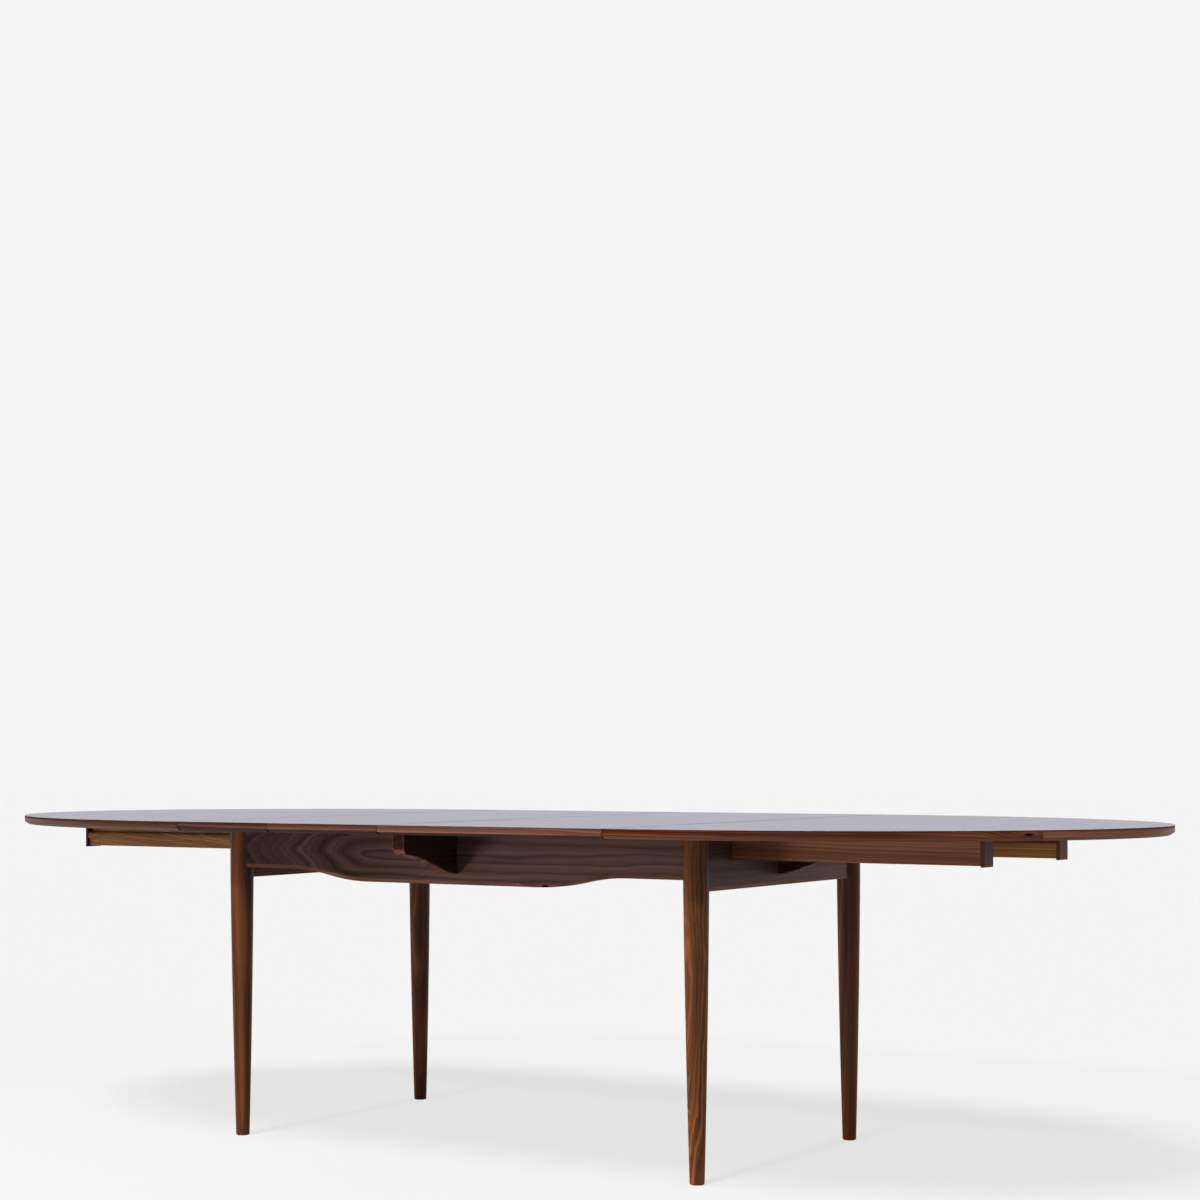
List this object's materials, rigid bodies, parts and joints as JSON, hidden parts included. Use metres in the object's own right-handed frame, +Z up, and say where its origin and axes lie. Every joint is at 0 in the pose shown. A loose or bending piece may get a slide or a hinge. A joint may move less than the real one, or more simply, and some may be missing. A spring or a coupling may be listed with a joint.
{
  "type": "extending oval dining table",
  "caption": "Oval dining table on turned legs that pulls out on grooved wooden runners, shown open with its loose leaves lying between the half tops.",
  "frame": {"origin": "on the floor under the middle of the open table", "axes": "+X along the table to the right, +Y to the back, +Z up"},
  "size_m": [2.9, 1.2, 0.72],
  "materials": {
    "turned_rosewood": "oiled satin",
    "bracket_rosewood": "oiled satin",
    "apron_veneer": "satin lacquer on figured veneer",
    "strip_rosewood": "satin lacquer",
    "edge_rosewood": "satin lacquer",
    "top_veneer": "satin lacquer on figured veneer",
    "runner_wood": "planed and waxed",
    "cap_rosewood": "satin lacquer",
    "inner_beech": "planed",
    "dowel_beech": "planed",
    "screw_steel": "zinc plated"
  },
  "bodies": {
    "frame": {"leg_front_left": "turned_rosewood", "leg_front_right": "turned_rosewood", "leg_back_left": "turned_rosewood", "leg_back_right": "turned_rosewood", "corner_block_front_left": "inner_beech", "corner_block_front_right": "inner_beech", "corner_block_back_left": "inner_beech", "corner_block_back_right": "inner_beech", "corner_screws": "screw_steel", "bracket_right": "bracket_rosewood", "bracket_back": "bracket_rosewood", "bracket_left": "bracket_rosewood", "bracket_front": "bracket_rosewood", "bracket_screws": "screw_steel", "apron_front": "apron_veneer", "apron_strip_front": "strip_rosewood", "apron_back": "apron_veneer", "apron_strip_back": "strip_rosewood", "apron_left": "apron_veneer", "apron_strip_left": "strip_rosewood", "apron_right": "apron_veneer", "apron_strip_right": "strip_rosewood", "cross_rail_left": "inner_beech", "cross_rail_right": "inner_beech", "guide_outer_front": "inner_beech", "guide_outer_back": "inner_beech", "guide_inner_front": "inner_beech", "guide_inner_back": "inner_beech", "guide_screws": "screw_steel"},
    "top_left": {"runner_left_front": "runner_wood", "runner_cap_left_front": "cap_rosewood", "runner_left_back": "runner_wood", "runner_cap_left_back": "cap_rosewood", "runner_stops_left": "inner_beech", "runner_screws_left": "screw_steel", "top_left_panel": "top_veneer", "top_left_edge": "edge_rosewood", "top_left_dowels": "dowel_beech"},
    "top_right": {"runner_right_front": "runner_wood", "runner_cap_right_front": "cap_rosewood", "runner_right_back": "runner_wood", "runner_cap_right_back": "cap_rosewood", "runner_stops_right": "inner_beech", "runner_screws_right": "screw_steel", "top_right_panel": "top_veneer", "top_right_edge": "edge_rosewood"},
    "leaf_left": {"leaf_left_panel": "top_veneer", "leaf_left_edge_front": "edge_rosewood", "leaf_left_edge_back": "edge_rosewood", "leaf_left_dowels": "dowel_beech"},
    "leaf_right": {"leaf_right_panel": "top_veneer", "leaf_right_edge_front": "edge_rosewood", "leaf_right_edge_back": "edge_rosewood", "leaf_right_dowels": "dowel_beech"}
  },
  "joints": [
    {"name": "top_left_slide", "type": "slide", "parent": "frame", "child": "top_left", "axis": [-1, 0, 0], "range_m": [0, 0.05]},
    {"name": "top_right_slide", "type": "slide", "parent": "frame", "child": "top_right", "axis": [1, 0, 0], "range_m": [0, 0.05]},
    {"name": "leaf_left_slide", "type": "slide", "parent": "frame", "child": "leaf_left", "axis": [-1, 0, 0], "range_m": [0, 0.02]},
    {"name": "leaf_right_slide", "type": "slide", "parent": "frame", "child": "leaf_right", "axis": [1, 0, 0], "range_m": [0, 0.02]}
  ],
  "couplings": [
    {"joint": "leaf_left_slide", "follows": "top_left_slide", "ratio": 0.4},
    {"joint": "leaf_right_slide", "follows": "top_right_slide", "ratio": 0.4}
  ]
}
